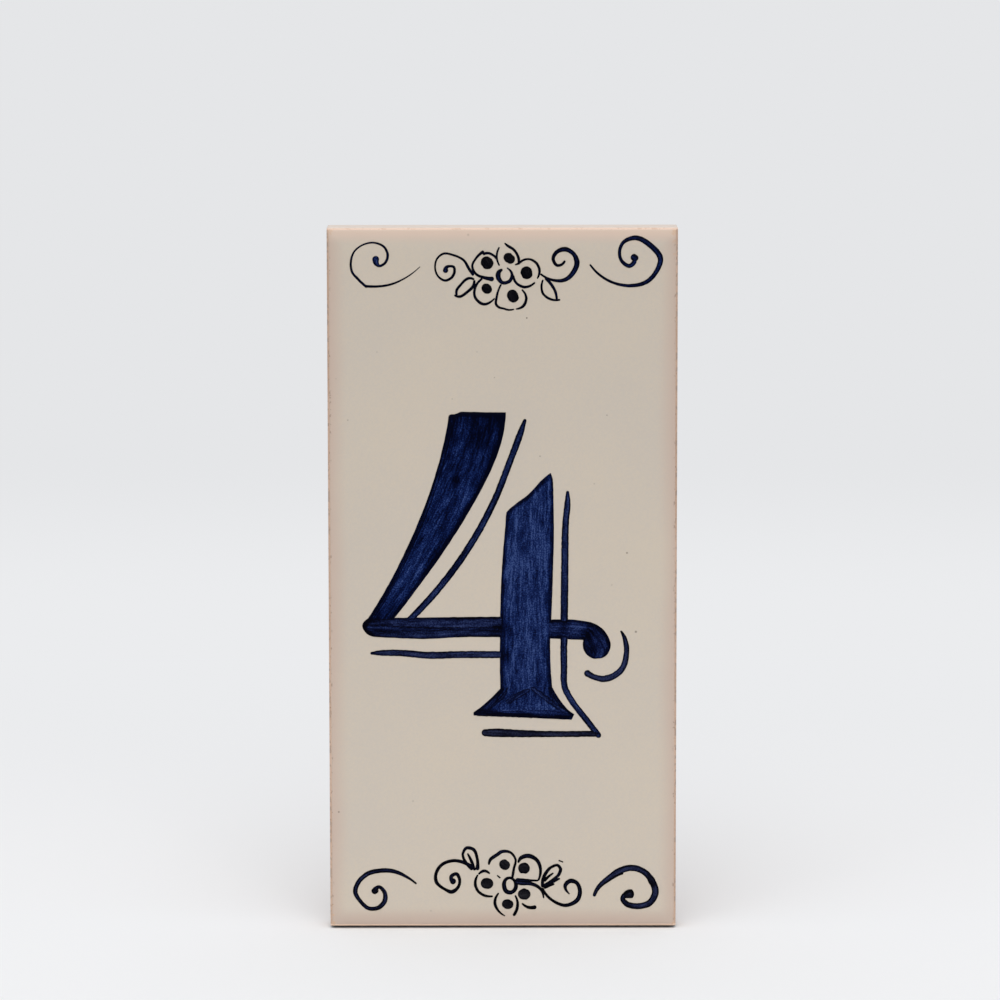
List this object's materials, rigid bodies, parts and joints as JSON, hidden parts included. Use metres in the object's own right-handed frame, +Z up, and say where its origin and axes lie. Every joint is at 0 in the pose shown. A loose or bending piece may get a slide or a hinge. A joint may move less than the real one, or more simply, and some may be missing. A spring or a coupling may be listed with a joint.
{
  "type": "house number plaque",
  "caption": "Upright ceramic house number tile: cream glaze with a bold blue brush-drawn numeral, thin shadow lines, and scroll and flower ornament along the top and bottom.",
  "frame": {"origin": "middle of the flat back, the face that is bedded on the wall", "axes": "+Z up the tile's height, +X to the right of someone reading it, +Y out of the back into the wall, so the painted face looks along -Y"},
  "size_m": [0.069, 0.0076, 0.14],
  "materials": {
    "clay": "fired clay, matt and slightly porous",
    "glaze": "opaque cream glaze, soft gloss",
    "cobalt": "cobalt blue brushwork, glossy and streaked"
  },
  "bodies": {
    "root": {"biscuit_tile": "clay", "glaze_coat": "glaze", "numeral": "cobalt", "top_ornament": "cobalt", "bottom_ornament": "cobalt"}
  },
  "joints": []
}
